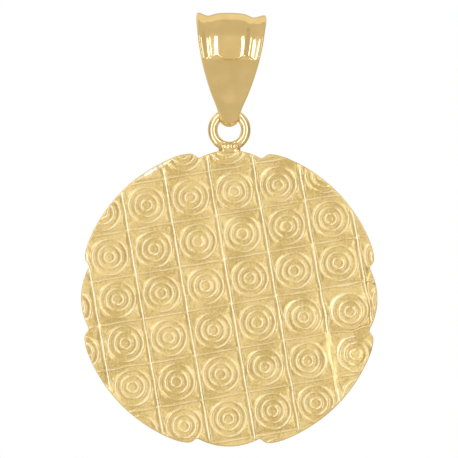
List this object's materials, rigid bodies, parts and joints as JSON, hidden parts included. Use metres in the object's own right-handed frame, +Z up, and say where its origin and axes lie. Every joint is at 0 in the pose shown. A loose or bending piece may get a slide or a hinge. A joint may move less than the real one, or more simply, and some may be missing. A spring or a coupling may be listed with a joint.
{
  "type": "pendant",
  "caption": "Round medallion pendant with a stamped pattern of tiles and circles, a soldered ring and a fluted bail in which it swings.",
  "frame": {"origin": "where a chain bears: middle of the underside of the bail's top fold", "axes": "+Z up, -Y the way the patterned face looks, +X across the pendant to the right as seen from its face, along the chain's way through the bail"},
  "size_m": [0.0296, 0.0068, 0.0434],
  "materials": {
    "polished_gold": "polished yellow gold",
    "satin_gold": "satin yellow gold with bright ridges"
  },
  "bodies": {
    "bail": {"bail": "polished_gold"},
    "medallion": {"medallion": "satin_gold"}
  },
  "joints": [
    {"name": "medallion_swing", "type": "hinge", "parent": "bail", "child": "medallion", "pos_m": [0, 0, -0.00932], "axis": [1, 0, 0], "range_deg": [-60, 60]}
  ]
}
